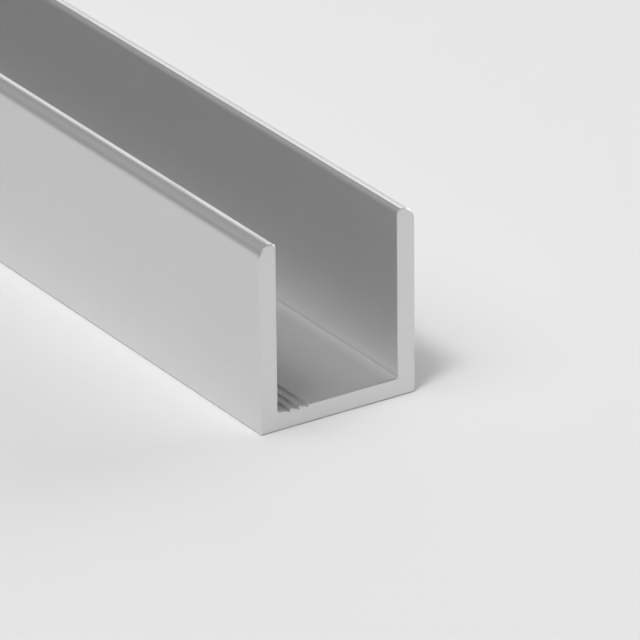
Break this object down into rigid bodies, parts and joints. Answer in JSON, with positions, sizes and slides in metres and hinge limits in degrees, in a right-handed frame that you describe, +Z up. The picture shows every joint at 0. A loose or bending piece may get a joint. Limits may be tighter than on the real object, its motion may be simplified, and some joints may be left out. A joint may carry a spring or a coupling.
{
  "type": "aluminium u-channel profile",
  "caption": "Straight length of extruded aluminium U-channel with rounded flange tips, crisp bottom edges and fine saw-tooth grooves along the slot's floor.",
  "frame": {"origin": "under the middle of the base, on its lower face, halfway across and halfway along the length", "axes": "+X across the channel, from the flange beside the grooves to the other one, +Y along the length, +Z up out of the open slot"},
  "size_m": [0.018, 1, 0.02],
  "materials": {
    "anodised_aluminium": "satin natural anodised extrusion, sawn square at both ends"
  },
  "bodies": {
    "root": {"u_channel": "anodised_aluminium"}
  },
  "joints": []
}
